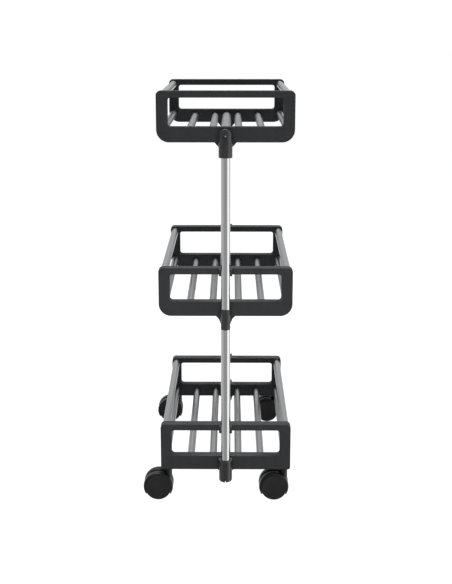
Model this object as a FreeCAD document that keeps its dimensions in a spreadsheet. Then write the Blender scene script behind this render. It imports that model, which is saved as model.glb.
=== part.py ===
"""Slim three-tier trolley: moulded end panels, metal tube trays, two end poles, twin-wheel casters.

+Z is up, X runs across the cart and Y along it. The origin is on the floor under the middle of
the frame. The front end is at -Y. Lengths are millimetres.
"""
import FreeCAD, Part
import os
import Sketcher

doc = FreeCAD.newDocument("wire_shelf_cart")
sheet = doc.addObject("Spreadsheet::Sheet", "Sizes")
sheet_rows = 0
X_AXIS, Z_AXIS = FreeCAD.Vector(1, 0, 0), FreeCAD.Vector(0, 0, 1)


class Size:
    """A length worked out from the sheet: its expression, and its value as the sheet stands."""

    def __init__(self, text, now):
        self.text = text
        self.now = now

    def joined(self, sign, other, now):
        right = other.text if isinstance(other, Size) else repr(other)
        return Size(f"({self.text} {sign} {right})", now)

    def __add__(self, other):
        return self.joined("+", other, self.now + number(other))

    def __sub__(self, other):
        return self.joined("-", other, self.now - number(other))

    def __mul__(self, other):
        return self.joined("*", other, self.now * number(other))

    def __truediv__(self, other):
        return self.joined("/", other, self.now / number(other))

    def __rsub__(self, other):
        return Size(f"({other!r} - {self.text})", other - self.now)

    def __neg__(self):
        return 0 - self


def number(value):
    """The plain number behind a Size or a number."""
    return value.now if isinstance(value, Size) else value


def size(alias, value, meaning):
    """Put one driving dimension in the sheet."""
    global sheet_rows
    sheet_rows += 1
    sheet.set(f"A{sheet_rows}", meaning)
    sheet.set(f"B{sheet_rows}", str(value))
    sheet.setAlias(f"B{sheet_rows}", alias)
    return Size(f"Sizes.{alias}", value)


# ---- driving dimensions -------------------------------------------------------------------------

# end panels
panel_width = size("panel_width", 250.0, "width of every end panel")
panel_height = size("panel_height", 92.4, "height of every end panel")
panel_thick = size("panel_thick", 18.0, "thickness of every end panel")
frame_length = size("frame_length", 373.0, "front panel's outer face to rear panel's outer face")
top_band = size("top_band", 12.0, "height of a panel's rail above its window")
low_band = size("low_band", 28.0, "height of a panel's rail below its window")
stile_width = size("stile_width", 20.5, "width of a panel's sides beside its window")
window_round = size("window_round", 6.0, "corner radius of a panel's window")
top_round = size("top_round", 8.0, "radius of a panel's upper corners")
low_round = size("low_round", 23.0, "radius of the lower corners, top and middle tray")
foot_round = size("foot_round", 4.5, "radius of the lower corners, bottom tray")
edge_round = size("edge_round", 1.0, "rounding of a panel's face edges")
middle_rise = size("middle_rise", 310.0, "bottom tray to middle tray")
top_rise = size("top_rise", 326.5, "middle tray to top tray")

# tubes of the trays
rail_bore = size("rail_bore", 12.5, "inside diameter of rails and floor rods")
tube_wall = size("tube_wall", 1.0, "wall of rails, floor rods and poles")
rail_inset = size("rail_inset", 10.0, "side rail's axis from the panel's side")
rail_drop = size("rail_drop", 10.0, "upper rail's axis below the panel's top")
rail_rise = size("rail_rise", 18.7, "lower rail's axis above the panel's bottom")
rod_rise = size("rod_rise", 14.0, "floor rod's axis above the panel's bottom")
rod_near = size("rod_near", 24.5, "inner floor rods' axes from the middle")
rod_far = size("rod_far", 68.0, "outer floor rods' axes from the middle")
seat_depth = size("seat_depth", 12.0, "depth of a rail's blind seat in a panel")
seat_gap = size("seat_gap", 0.1, "gap round a tube in its seat")
tie_diameter = size("tie_diameter", 19.0, "tie tube under the top and bottom tray")
slim_tie = size("slim_tie", 14.5, "tie tube under the middle tray")
tie_wall = size("tie_wall", 1.5, "wall of a tie tube")
tie_rise = size("tie_rise", 13.0, "tie tube's axis above the panel's bottom")
tie_seat = size("tie_seat", 6.0, "depth of a tie tube's seat in a panel")
insert_length = size("insert_length", 20.0, "length of the threaded insert in a tie tube's end")

# poles and their connectors
pole_diameter = size("pole_diameter", 17.2, "outside diameter of the poles")
pole_gap = size("pole_gap", 2.4, "gap between a pole and the panel faces")
socket_depth = size("socket_depth", 25.0, "length of pole inside a connector")
sleeve_wall = size("sleeve_wall", 4.0, "wall of the connector round a pole")
lug_step = size("lug_step", 0.9, "how much narrower each side of the top connector's lug is")
top_reach = size("top_reach", 25.5, "top connector above and below the panel's bottom edge")
foot_above = size("foot_above", 26.0, "bottom connector above the panel's bottom edge")
foot_below = size("foot_below", 16.4, "bottom connector below the panel's bottom edge")
foot_edge = size("foot_edge", 3.5, "rounding of the bottom connector's lower edge")
slit_width = size("slit_width", 1.2, "slit in the front of the bottom connector's lower end")
slit_height = size("slit_height", 4.5, "height of that slit")
joint_above = size("joint_above", 18.0, "middle connector above the panel's bottom edge")
joint_below = size("joint_below", 21.0, "middle connector below the panel's bottom edge")
joint_proud = size("joint_proud", 0.2, "middle connector's radius beyond the pole's")
clip_arm = size("clip_arm", 3.7, "thickness of a pole clip's arm")
clip_reach = size("clip_reach", 12.0, "length of a pole clip's arm from the panel face")

# panel tabs behind the connectors
tab_inset = size("tab_inset", 0.3, "tab's side inside the connector's side")
flare_depth = size("flare_depth", 9.0, "height of the flare above the top panel's tab")
flare_width = size("flare_width", 7.7, "width of that flare on each side")
top_tab = size("top_tab", 24.0, "top panel's tab below the panel")
joint_flare = size("joint_flare", 9.5, "middle panel's tab beyond the connector, at the panel")
joint_waist = size("joint_waist", 4.0, "the same, where the flare turns steeper")
joint_turn = size("joint_turn", 5.5, "depth where the flare turns steeper")
joint_tab = size("joint_tab", 16.0, "middle panel's tab below the panel")
foot_flare = size("foot_flare", 3.0, "flare of the bottom panel's tab, down and to each side")
foot_tab = size("foot_tab", 16.0, "bottom panel's tab below the panel")
tab_round = size("tab_round", 10.5, "corner radius at the end of the bottom panel's tab")

# screws
screw_radius = size("screw_radius", 2.5, "screw shank")
screw_head = size("screw_head", 3.2, "radius of a screw head")
head_height = size("head_height", 2.8, "height of a screw head")
head_gap = size("head_gap", 0.5, "gap round a screw head")
recess_length = size("recess_length", 3.4, "length of the cross recess")
recess_width = size("recess_width", 0.9, "width of the cross recess")
recess_depth = size("recess_depth", 1.3, "depth of the cross recess")
top_sink = size("top_sink", 6.0, "screw head below the top connector's front")
joint_sink = size("joint_sink", 7.0, "screw head below the middle connector's front")
tie_grip = size("tie_grip", 14.0, "screw thread inside a tie insert")
lug_screw_drop = size("lug_screw_drop", 8.0, "lug screw below the bottom panel")
lug_screw_sink = size("lug_screw_sink", 10.0, "depth of the lug screw's counterbore")
lug_screw_grip = size("lug_screw_grip", 9.0, "lug screw inside the bottom connector")

# casters
stem_inset = size("stem_inset", 13.0, "caster stem's axis from the panel's side")
stem_radius = size("stem_radius", 4.0, "caster stem")
stem_thread = size("stem_thread", 9.5, "threaded length above the panel's bottom edge")
stem_length = size("stem_length", 28.0, "plain length below the panel's bottom edge")
insert_radius = size("insert_radius", 6.0, "nut insert for a caster stem")
insert_depth = size("insert_depth", 10.0, "height of that insert")
wheel_radius = size("wheel_radius", 25.0, "caster wheel")
wheel_face = size("wheel_face", 18.0, "wheel's outer face from the caster's middle")
wheel_round = size("wheel_round", 1.5, "rounding of the wheel's tread edge")
rim_depth = size("rim_depth", 3.2, "thickness of the wheel's tread ring")
hub_radius = size("hub_radius", 7.0, "wheel hub, and the hub of the housing")
disc_thick = size("disc_thick", 3.0, "thickness of the wheel's outer disc")
caster_trail = size("caster_trail", 18.5, "wheel axle behind the stem's axis")
web_half = size("web_half", 5.5, "half the thickness of the housing's web")
web_gap = size("web_gap", 0.7, "gap between web and wheel")
tread_gap = size("tread_gap", 1.0, "gap between wheel and hood")
hood_wall = size("hood_wall", 2.8, "thickness of the hood over the wheels")
hood_half = size("hood_half", 16.5, "half the width of the hood")
hood_round = size("hood_round", 2.0, "rounding of the hood's outer edges")
hood_angle = size("hood_angle", 241.0, "how far the hood wraps round the wheels, degrees")
groove_half = size("groove_half", 1.6, "half the width of the groove's floor")
groove_depth = size("groove_depth", 2.2, "depth of the groove between the two hood arches")
groove_slope = size("groove_slope", 1.4, "width of the groove's sloping sides")
hood_clear = size("hood_clear", 5.2, "gap between hood and bottom panel")
boss_radius = size("boss_radius", 8.0, "boss round the stem")
boss_gap = size("boss_gap", 0.4, "gap between boss and bottom panel")
boss_root = size("boss_root", 16.0, "boss bottom below the hood's top")
axle_radius = size("axle_radius", 2.5, "wheel axle")
axle_half = size("axle_half", 14.5, "half the length of the axle")
running_gap = size("running_gap", 0.05, "radial gap of a shaft in its bore")

doc.recompute()

# ---- what follows from them ---------------------------------------------------------------------

half_width = panel_width / 2
half_thick = panel_thick / 2
face_y = frame_length / 2
panel_y = face_y - half_thick
rail_radius = rail_bore / 2 + tube_wall
rail_x = half_width - rail_inset
pole_radius = pole_diameter / 2
pole_reach = pole_radius + pole_gap
sleeve_radius = pole_radius + sleeve_wall
joint_radius = pole_radius + joint_proud
tab_half = sleeve_radius - tab_inset
sleeve_front = pole_reach + sleeve_radius
joint_front = pole_reach + joint_radius
hood_inner = wheel_radius + tread_gap
hood_outer = hood_inner + hood_wall
bottom_z = wheel_radius + hood_outer + hood_clear
middle_z = bottom_z + middle_rise
top_z = middle_z + top_rise
stem_x = half_width - stem_inset

TRAYS = {"bottom": bottom_z, "middle": middle_z, "top": top_z}
ENDS = {"front": -1, "rear": 1}
SIDES = {"left": -1, "right": 1}

# ---- small tools --------------------------------------------------------------------------------


def bind(thing, **properties):
    """Set properties, those given as a Size by an expression on the sheet."""
    for name, value in properties.items():
        path = name.replace("__", ".")
        if isinstance(value, Size):
            thing.setExpression(path, value.text)
        else:
            setattr(thing, name, value)
    return thing


def place(thing, x=0, y=0, z=0, axis=Z_AXIS, angle=0):
    """Turn a piece about an axis, then move it; a move given as a Size stays bound."""
    base = FreeCAD.Vector(number(x), number(y), number(z))
    thing.Placement = FreeCAD.Placement(base, FreeCAD.Rotation(axis, angle))
    for name, value in (("x", x), ("y", y), ("z", z)):
        if isinstance(value, Size):
            thing.setExpression(f"Placement.Base.{name}", value.text)
    return thing


def end_turn(end):
    """A piece is drawn for the front end and turned half round for the rear."""
    return 0 if ENDS[end] < 0 else 180


def cylinder(name, radius, length, x=0, y=0, z=0, along_y=False, body=None):
    """A cylinder from a start point along +Z, or along +Y."""
    kind = "Part::Cylinder" if body is None else body[1] + "Cylinder"
    thing = doc.addObject(kind, name) if body is None else body[0].newObject(kind, name)
    bind(thing, Radius=radius, Height=length)
    return place(thing, x, y, z, X_AXIS, -90 if along_y else 0)


def box(name, width, depth, height, x=0, y=0, z=0, body=None):
    """A box centred on x, running from y and z towards + Y and + Z."""
    kind = "Part::Box" if body is None else body[1] + "Box"
    thing = doc.addObject(kind, name) if body is None else body[0].newObject(kind, name)
    bind(thing, Length=width, Width=depth, Height=height)
    return place(thing, x - width / 2 if isinstance(width, Size) else x, y, z)


def fuse(name, *pieces):
    return bind(doc.addObject("Part::MultiFuse", name), Shapes=list(pieces))


def common(name, *pieces):
    return bind(doc.addObject("Part::MultiCommon", name), Shapes=list(pieces))


def cut(name, base, tool):
    return bind(doc.addObject("Part::Cut", name), Base=base, Tool=tool)


def group(name, pieces):
    """Identical pieces kept in one node as separate solids."""
    return bind(doc.addObject("Part::Compound", name), Links=list(pieces))


def new_body(name):
    return doc.addObject("PartDesign::Body", name)


def sketch_on(body, role, name):
    """An empty sketch on one of the body's own origin planes."""
    sketch = body.newObject("Sketcher::SketchObject", name)
    plane = next(item for item in body.Origin.OriginFeatures if item.Role == role)
    sketch.AttachmentSupport = [(plane, "")]
    sketch.MapMode = "FlatFace"
    return sketch


def hold(sketch, kind, constraint, value):
    """Add a constraint whose number is bound to the sheet."""
    index = sketch.addConstraint(Sketcher.Constraint(kind, *constraint, number(value)))
    if isinstance(value, Size):
        sketch.renameConstraint(index, f"held_{index}")
        sketch.setExpression(f"Constraints.held_{index}", value.text)


def hold_point(sketch, element, end, x, y):
    """Hold a point at its two distances from the sketch's origin."""
    for kind, value, line in (("DistanceX", x, -2), ("DistanceY", y, -1)):
        if isinstance(value, Size):
            hold(sketch, kind, (-1, 1, element, end), value)
        else:
            sketch.addConstraint(Sketcher.Constraint("PointOnObject", element, end, line))


def outline(sketch, corners):
    """A closed outline of straight lines through the corners."""
    points = [FreeCAD.Vector(number(x), number(y), 0) for x, y in corners]
    lines = range(len(corners))
    for line in lines:
        sketch.addGeometry(Part.LineSegment(points[line - 1], points[line]), False)
    for line in lines:
        sketch.addConstraint(Sketcher.Constraint("Coincident", line - 1 if line else lines[-1], 2, line, 1))
    for line in lines:
        hold_point(sketch, line, 2, *corners[line])
    return sketch


def circles(sketch, radius, centres):
    """Circles of one radius at the given centres."""
    for number_of, (x, y) in enumerate(centres):
        centre = FreeCAD.Vector(number(x), number(y), 0)
        sketch.addGeometry(Part.Circle(centre, Z_AXIS, number(radius)), False)
        hold_point(sketch, number_of, 3, x, y)
        hold(sketch, "Radius", (number_of,), radius)
    return sketch


def mirrored(half_outline):
    """A half outline, given from its first to its last corner, with its mirror image added."""
    return half_outline + [(-x, y) for x, y in reversed(half_outline)]


def round_edges(body, name, radius, wanted):
    """Fillet the edges of the body's tip for which wanted(edge) is true."""
    doc.recompute()
    tip = body.Tip
    names = [f"Edge{k}" for k, edge in enumerate(tip.Shape.Edges, 1) if wanted(edge)]
    fillet = body.newObject("PartDesign::Fillet", name)
    fillet.Base = (tip, names)
    return bind(fillet, Radius=radius)


def across(edge):
    """True for a straight edge that runs through the thickness of a panel."""
    first, last = edge.Vertexes[0].Point, edge.Vertexes[-1].Point
    return abs(first.x - last.x) < 0.01 and abs(first.z - last.z) < 0.01 and abs(first.y - last.y) > 1


def edge_at(edge, x, z):
    """True for such an edge at +x or -x and at z."""
    middle = edge.BoundBox.Center
    return across(edge) and abs(abs(middle.x) - number(x)) < 0.1 and abs(middle.z - number(z)) < 0.1


# ---- end panels ---------------------------------------------------------------------------------
# A one-piece moulding: a flat frame with a window, and a tab below its middle that backs the
# connector. Blind seats in the inner face take the tubes. Panels of the middle and bottom tray
# have a clip at the top that holds the pole.

TAB_OUTLINES = {
    "top": [(tab_half + flare_width, 0), (tab_half, -flare_depth), (tab_half, -top_tab)],
    "middle": [(joint_radius + joint_flare, 0), (joint_radius + joint_waist, -joint_turn),
               (joint_radius, -joint_tab)],
    "bottom": [(tab_half + foot_flare, 0), (tab_half, -foot_flare), (tab_half, -foot_tab)],
}
LOW_CORNERS = {"top": low_round, "middle": low_round, "bottom": foot_round}


def panel(end, tray):
    """One end panel, drawn with its outer face towards -Y and its bottom edge at z = 0."""
    name = f"{end}_panel_{tray}"
    body = new_body(name)
    half_outline = [(half_width, panel_height), (half_width, 0)] + TAB_OUTLINES[tray]
    shape = outline(sketch_on(body, "XZ_Plane", name + "_outline"), mirrored(half_outline))
    bind(body.newObject("PartDesign::Pad", name + "_blank"),
         Profile=shape, Length=panel_thick, SideType="Symmetric")

    window_x = half_width - stile_width
    window_top = panel_height - top_band
    window = outline(sketch_on(body, "XZ_Plane", name + "_window_outline"),
                     mirrored([(window_x, window_top), (window_x, low_band)]))
    bind(body.newObject("PartDesign::Pocket", name + "_window"),
         Profile=window, Type="ThroughAll", SideType="Symmetric")
    round_edges(body, name + "_top_corners", top_round,
                lambda edge: edge_at(edge, half_width, panel_height))
    round_edges(body, name + "_low_corners", LOW_CORNERS[tray], lambda edge: edge_at(edge, half_width, 0))
    if tray == "bottom":
        round_edges(body, name + "_tab_end", tab_round, lambda edge: edge_at(edge, tab_half, -foot_tab))
    round_edges(body, name + "_window_corners", window_round,
                lambda edge: edge_at(edge, window_x, window_top) or edge_at(edge, window_x, low_band))
    round_edges(body, name + "_face_edges", edge_round,
                lambda edge: abs(edge.BoundBox.YLength) < 0.01)
    if tray != "top":
        pole_clip(body, name)
    tube_seats(body, name, tray)
    screw_holes(body, name, tray)
    if tray == "bottom":
        for side, sign in SIDES.items():
            cylinder(f"{name}_{side}_stem_bore", insert_radius + seat_gap, insert_depth,
                     x=stem_x * sign, body=(body, "PartDesign::Subtractive"))
    body.Label = name
    return place(body, y=panel_y * ENDS[end], z=TRAYS[tray], angle=end_turn(end))


def pole_clip(body, name):
    """An open clip, as tall as the top band, whose two arms hold the pole."""
    overlap = edge_round * 2
    box(name + "_clip", (pole_radius + seat_gap + clip_arm) * 2, clip_reach + overlap, top_band,
        y=-half_thick - clip_reach, z=panel_height - top_band, body=(body, "PartDesign::Additive"))
    cylinder(name + "_clip_bore", pole_radius + seat_gap, panel_height,
             y=-half_thick - pole_reach, body=(body, "PartDesign::Subtractive"))


def tube_seats(body, name, tray):
    """Blind seats for the rails, floor rods and tie tube, cut from the inner face."""
    rails = [(rail_x * sign, height) for sign in SIDES.values()
             for height in (panel_height - rail_drop, rail_rise)]
    rods = [(place_x * sign, rod_rise) for sign in SIDES.values() for place_x in (rod_near, rod_far)]
    for what, radius, centres, depth in (
            ("rail_seats", rail_radius, rails + rods, seat_depth),
            ("tie_seat", tie_radius(tray), [(0, tie_rise)], tie_seat)):
        sketch = sketch_on(body, "XZ_Plane", f"{name}_{what}_outline")
        sketch.setExpression("AttachmentOffset.Base.z", (-half_thick).text)
        circles(sketch, radius + seat_gap, centres)
        bind(body.newObject("PartDesign::Pocket", f"{name}_{what}"),
             Profile=sketch, Type="Length", Length=depth, Reversed=True)


def screw_holes(body, name, tray):
    """The tie screw's hole, and on the bottom panel the sunk head and the lug screw's hole."""
    cutter = (body, "PartDesign::Subtractive")
    cylinder(name + "_screw_hole", screw_radius + seat_gap, panel_thick,
             y=-half_thick, z=tie_rise, along_y=True, body=cutter)
    if tray == "bottom":
        cylinder(name + "_head_sink", screw_head + head_gap, head_height + seat_gap,
                 y=-half_thick, z=tie_rise, along_y=True, body=cutter)
        cylinder(name + "_lug_screw_hole", screw_radius + seat_gap, panel_thick,
                 y=-half_thick, z=-lug_screw_drop, along_y=True, body=cutter)
        cylinder(name + "_lug_head_sink", screw_head + head_gap, lug_screw_sink,
                 y=half_thick - lug_screw_sink, z=-lug_screw_drop, along_y=True, body=cutter)


# ---- trays: rails, floor rods and tie tubes -----------------------------------------------------
# Straight metal tubes, cut square. Their ends sit on the floors of the panels' blind seats.


def tie_radius(tray):
    return (slim_tie if tray == "middle" else tie_diameter) / 2


def tube(name, radius, wall, length):
    """A tube along its own Z, starting at its own origin."""
    return cut(name, cylinder(name + "_outside", radius, length),
               cylinder(name + "_inside", radius - wall, length))


def long_tube(name, radius, wall, seat, x, z):
    """A tube along the cart, as long as the space between the panels and its two seats."""
    length = frame_length - panel_thick * 2 + seat * 2
    return place(tube(name, radius, wall, length), x, -length / 2, z, X_AXIS, -90)


def tray_tubes(tray, base_z):
    """The rails, floor rods and tie tube of one tray."""
    made = []
    for side, sign in SIDES.items():
        for level, height in (("upper", panel_height - rail_drop), ("lower", rail_rise)):
            made.append(long_tube(f"{tray}_{level}_rail_{side}", rail_radius, tube_wall, seat_depth,
                                  rail_x * sign, base_z + height))
    rods = [long_tube(f"{tray}_floor_rod_{side}_{row}", rail_radius, tube_wall, seat_depth,
                      place_x * sign, base_z + rod_rise)
            for side, sign in SIDES.items() for row, place_x in (("near", rod_near), ("far", rod_far))]
    made.append(group(f"{tray}_floor_rods", rods))
    made.append(long_tube(f"{tray}_tie_tube", tie_radius(tray), tie_wall, tie_seat, 0, base_z + tie_rise))
    return made


def tie_insert(name, end, tray):
    """A threaded plug, flush in the end of a tie tube."""
    plug = cut(name, cylinder(name + "_plug", tie_radius(tray) - tie_wall, insert_length),
               cylinder(name + "_thread", screw_radius + running_gap, insert_length))
    start = frame_length / 2 - panel_thick + tie_seat - (insert_length if ENDS[end] > 0 else 0)
    return place(plug, 0, start * ENDS[end], TRAYS[tray] + tie_rise, X_AXIS, -90)


# ---- poles --------------------------------------------------------------------------------------


def poles(end):
    """The two lengths of tube that make the upright at one end of the cart."""
    y = (face_y + pole_reach) * ENDS[end]
    low_start = bottom_z + foot_above - socket_depth
    high_start = middle_z + joint_above
    spans = (("lower", low_start, middle_z - joint_below - low_start),
             ("upper", high_start, top_z - top_reach + socket_depth - high_start))
    return [place(tube(f"{end}_pole_{part}", pole_radius, tube_wall, length), 0, y, start)
            for part, start, length in spans]


# ---- connectors ---------------------------------------------------------------------------------
# Moulded blocks with a flat back that lies on the panel and a round front that follows the pole.
# Each is drawn about the pole's axis, with its back towards +Y and the panel's bottom edge at z = 0.


def column(name, radius, low, height):
    """A block with a round front and a flat back on the panel face."""
    return fuse(name, cylinder(name + "_front", radius, height, z=low),
                box(name + "_back", radius * 2, pole_reach, height, z=low))


def end_place(thing, end, tray):
    return place(thing, 0, (face_y + pole_reach) * ENDS[end], TRAYS[tray], angle=end_turn(end))


def top_connector(end):
    """A socket for the top of the pole, with a domed lug on the panel and a sunk screw."""
    name = f"{end}_connector_top"
    lug_radius = sleeve_radius - lug_step
    dome_z = top_reach - lug_radius
    front = -sleeve_radius
    depth = sleeve_front
    profile = fuse(
        name + "_profile",
        box(name + "_wide", sleeve_radius * 2, depth, top_reach, y=front, z=-top_reach),
        box(name + "_lug", lug_radius * 2, depth, dome_z + top_reach, y=front, z=-top_reach),
        cylinder(name + "_dome", lug_radius, depth, y=front, z=dome_z, along_y=True))
    block = common(name + "_block", column(name + "_column", sleeve_radius, -top_reach, top_reach * 2),
                   profile)
    holes = fuse(
        name + "_holes",
        cylinder(name + "_socket", pole_radius + seat_gap, socket_depth, z=-top_reach),
        cylinder(name + "_screw_hole", screw_radius + seat_gap, depth, y=front, z=tie_rise, along_y=True),
        cylinder(name + "_head_sink", screw_head + head_gap, top_sink + head_height,
                 y=front, z=tie_rise, along_y=True))
    return end_place(cut(name, block, holes), end, "top")


def middle_connector(end):
    """A solid joint, flush with the poles, with a spigot inside each of them."""
    name = f"{end}_connector_middle"
    spigot_radius = pole_radius - tube_wall - seat_gap
    spigot_length = socket_depth * 2 + joint_above + joint_below
    block = fuse(name + "_block", column(name + "_column", joint_radius, -joint_below,
                                         joint_above + joint_below),
                 cylinder(name + "_spigots", spigot_radius, spigot_length,
                          z=-joint_below - socket_depth))
    front = -joint_radius
    holes = fuse(
        name + "_holes",
        cylinder(name + "_screw_hole", screw_radius + seat_gap, joint_front,
                 y=front, z=tie_rise, along_y=True),
        cylinder(name + "_head_sink", screw_head + head_gap, joint_sink + head_height,
                 y=front, z=tie_rise, along_y=True))
    return end_place(cut(name, block, holes), end, "middle")


def joint_cap(end):
    """A plug that closes the middle connector's screw hole, flush with its round front."""
    name = f"joint_cap_{end}"
    plug = cylinder(name + "_plug", screw_head + head_gap - running_gap, joint_sink,
                    y=-joint_radius, z=tie_rise, along_y=True)
    front = column(name + "_column", joint_radius, -joint_below, joint_above + joint_below)
    return end_place(common(name, plug, front), end, "middle")


def bottom_connector(end):
    """A socket for the foot of the pole, its lower end rounded off and slit."""
    name = f"{end}_connector_bottom"
    body = new_body(name)
    added, cutter = (body, "PartDesign::Additive"), (body, "PartDesign::Subtractive")
    height = foot_above + foot_below
    cylinder(name + "_front", sleeve_radius, height, z=-foot_below, body=added)
    box(name + "_back", sleeve_radius * 2, pole_reach, height, z=-foot_below, body=added)
    box(name + "_panel_side", sleeve_radius * 2, sleeve_wall, height, y=pole_reach, z=-foot_below,
        body=cutter)
    round_edges(body, name + "_lower_edge", foot_edge,
                lambda edge: edge.BoundBox.ZMax < -foot_below.now + 0.01
                and edge.BoundBox.YMin < pole_reach.now - 0.01)
    cylinder(name + "_socket", pole_radius + seat_gap, socket_depth, z=foot_above - socket_depth,
             body=cutter)
    cylinder(name + "_lug_thread", screw_radius + running_gap, lug_screw_grip,
             y=pole_reach - lug_screw_grip, z=-lug_screw_drop, along_y=True, body=cutter)
    box(name + "_slit", slit_width, sleeve_radius, slit_height, y=-sleeve_radius, z=-foot_below,
        body=cutter)
    body.Label = name
    return end_place(body, end, "bottom")


# ---- screws -------------------------------------------------------------------------------------


def screw(name, shank):
    """A cross-recessed screw along its own Z: its head below z = 0 and its shank above."""
    blank = fuse(name + "_blank", cylinder(name + "_head", screw_head, head_height, z=-head_height),
                 cylinder(name + "_shank", screw_radius, shank))
    cross = fuse(name + "_cross",
                 box(name + "_slot_a", recess_length, recess_width, recess_depth,
                     y=-recess_width / 2, z=-head_height),
                 box(name + "_slot_b", recess_width, recess_length, recess_depth,
                     y=-recess_length / 2, z=-head_height))
    return cut(name, blank, cross)


def tie_screw(end, tray):
    """The screw through connector and panel into the tie tube's insert."""
    seat_out = {"top": sleeve_front - top_sink - head_height,
                "middle": joint_front - joint_sink - head_height,
                "bottom": -head_height - seat_gap}[tray]
    shank = seat_out + panel_thick - tie_seat + tie_grip
    thing = screw(f"tie_screw_{end}_{tray}", shank)
    return place(thing, 0, (face_y + seat_out) * ENDS[end], TRAYS[tray] + tie_rise,
                 X_AXIS, 90 * ENDS[end])


def lug_screw(end):
    """The screw from the inner face of the bottom panel's tab into the connector."""
    thing = screw(f"lug_screw_{end}", panel_thick - lug_screw_sink + lug_screw_grip)
    y = (face_y - panel_thick + lug_screw_sink) * ENDS[end]
    return place(thing, 0, y, bottom_z - lug_screw_drop, X_AXIS, -90 * ENDS[end])


# ---- casters ------------------------------------------------------------------------------------
# Twin-wheel casters. The stem screws into an insert in the bottom panel, and the housing turns on
# it. The housing has a web between the wheels and a hood of two arches over them. Housing and
# wheels are drawn about the axle, which lies along Y.


def caster_housing(name):
    body = new_body(name)
    slope = groove_half + groove_slope
    half_profile = [(web_half, 0), (web_half, hood_inner), (hood_half, hood_inner),
                    (hood_half, hood_outer), (slope, hood_outer),
                    (groove_half, hood_outer - groove_depth)]
    profile = outline(sketch_on(body, "YZ_Plane", name + "_profile"), mirrored(half_profile))
    bind(body.newObject("PartDesign::Revolution", name + "_hood"), Profile=profile,
         ReferenceAxis=(profile, ["H_Axis"]), Midplane=True, Angle=hood_angle)
    round_edges(body, name + "_hood_edges", hood_round,
                lambda edge: edge.Curve.TypeId == "Part::GeomCircle"
                and abs(edge.Curve.Radius - hood_outer.now) < 0.01)

    boss_top = bottom_z - boss_gap - wheel_radius
    boss_low = hood_outer - boss_root
    cylinder(name + "_boss", boss_radius, boss_top - boss_low, x=caster_trail, z=boss_low,
             body=(body, "PartDesign::Additive"))
    cutter = (body, "PartDesign::Subtractive")
    for side, start in (("a", web_half), ("b", -hood_half - tread_gap)):
        cylinder(f"{name}_wheel_space_{side}", hood_inner, hood_half - web_half + tread_gap,
                 y=start, along_y=True, body=cutter)
    cylinder(name + "_hub", hub_radius, web_half * 2, y=-web_half, along_y=True,
             body=(body, "PartDesign::Additive"))
    cylinder(name + "_axle_bore", axle_radius + running_gap, web_half * 2, y=-web_half,
             along_y=True, body=cutter)
    stem_end = bottom_z - stem_length - wheel_radius
    cylinder(name + "_stem_bore", stem_radius + running_gap, boss_top - stem_end,
             x=caster_trail, z=stem_end, body=cutter)
    body.Label = name
    return body


def caster_wheel(name):
    """One wheel, on the +Y side of the web, with its closed disc outwards."""
    body = new_body(name)
    inner = web_half + web_gap
    disc = wheel_face - disc_thick
    bore = axle_radius + running_gap
    rim = wheel_radius - rim_depth
    corners = [(0, wheel_face), (wheel_radius, wheel_face), (wheel_radius, inner), (rim, inner),
               (rim, disc), (hub_radius, disc), (hub_radius, inner), (bore, inner), (bore, disc),
               (0, disc)]
    profile = outline(sketch_on(body, "XY_Plane", name + "_profile"), corners)
    bind(body.newObject("PartDesign::Revolution", name + "_turned"), Profile=profile,
         ReferenceAxis=(profile, ["V_Axis"]), Angle=360.0)
    round_edges(body, name + "_tread_edges", wheel_round,
                lambda edge: edge.Curve.TypeId == "Part::GeomCircle"
                and abs(edge.Curve.Radius - wheel_radius.now) < 0.01)
    body.Label = name
    return body


def caster(end, side):
    """Housing, axle and two wheels of the caster at one corner; it trails towards -X."""
    name = f"caster_{end}_{side}"
    x = stem_x * SIDES[side] - caster_trail
    y = panel_y * ENDS[end]
    outer_turn, inner_turn = (180, 0) if ENDS[end] < 0 else (0, 180)
    axle = cylinder(name + "_axle", axle_radius, axle_half * 2)
    return [place(caster_housing(name + "_housing"), x, y, wheel_radius),
            place(axle, x, y - axle_half, wheel_radius, X_AXIS, -90),
            place(caster_wheel(name + "_wheel_outer"), x, y, wheel_radius, angle=outer_turn),
            place(caster_wheel(name + "_wheel_inner"), x, y, wheel_radius, angle=inner_turn)]


def caster_stem(name, x, y):
    """A round stem, its upper end threaded into the insert."""
    return place(cylinder(name, stem_radius, stem_thread + stem_length), x, y, bottom_z - stem_length)


def stem_insert(name, x, y):
    """The threaded insert that takes a stem, flush with the panel's bottom edge."""
    ring = cut(name, cylinder(name + "_body", insert_radius, insert_depth),
               cylinder(name + "_thread", stem_radius + running_gap, insert_depth))
    return place(ring, x, y, bottom_z)


# ---- build the cart -----------------------------------------------------------------------------

nodes = []
for tray, base_z in TRAYS.items():
    nodes += [panel(end, tray) for end in ENDS]
    nodes += tray_tubes(tray, base_z)
for end in ENDS:
    nodes += poles(end) + [top_connector(end), middle_connector(end), bottom_connector(end)]
nodes.append(group("joint_caps", [joint_cap(end) for end in ENDS]))
nodes.append(group("tie_inserts", [tie_insert(f"tie_insert_{end}_{tray}", end, tray)
                                   for end in ENDS for tray in TRAYS]))
nodes.append(group("tie_screws", [tie_screw(end, tray) for end in ENDS for tray in TRAYS]))
nodes.append(group("lug_screws", [lug_screw(end) for end in ENDS]))
corners = [(end, side, stem_x * SIDES[side], panel_y * ENDS[end]) for end in ENDS for side in SIDES]
nodes.append(group("caster_stems", [caster_stem(f"stem_{end}_{side}", x, y)
                                    for end, side, x, y in corners]))
nodes.append(group("stem_inserts", [stem_insert(f"stem_insert_{end}_{side}", x, y)
                                    for end, side, x, y in corners]))
for end, side, x, y in corners:
    nodes += caster(end, side)
doc.recompute()

# ---- check and write ----------------------------------------------------------------------------

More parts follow.
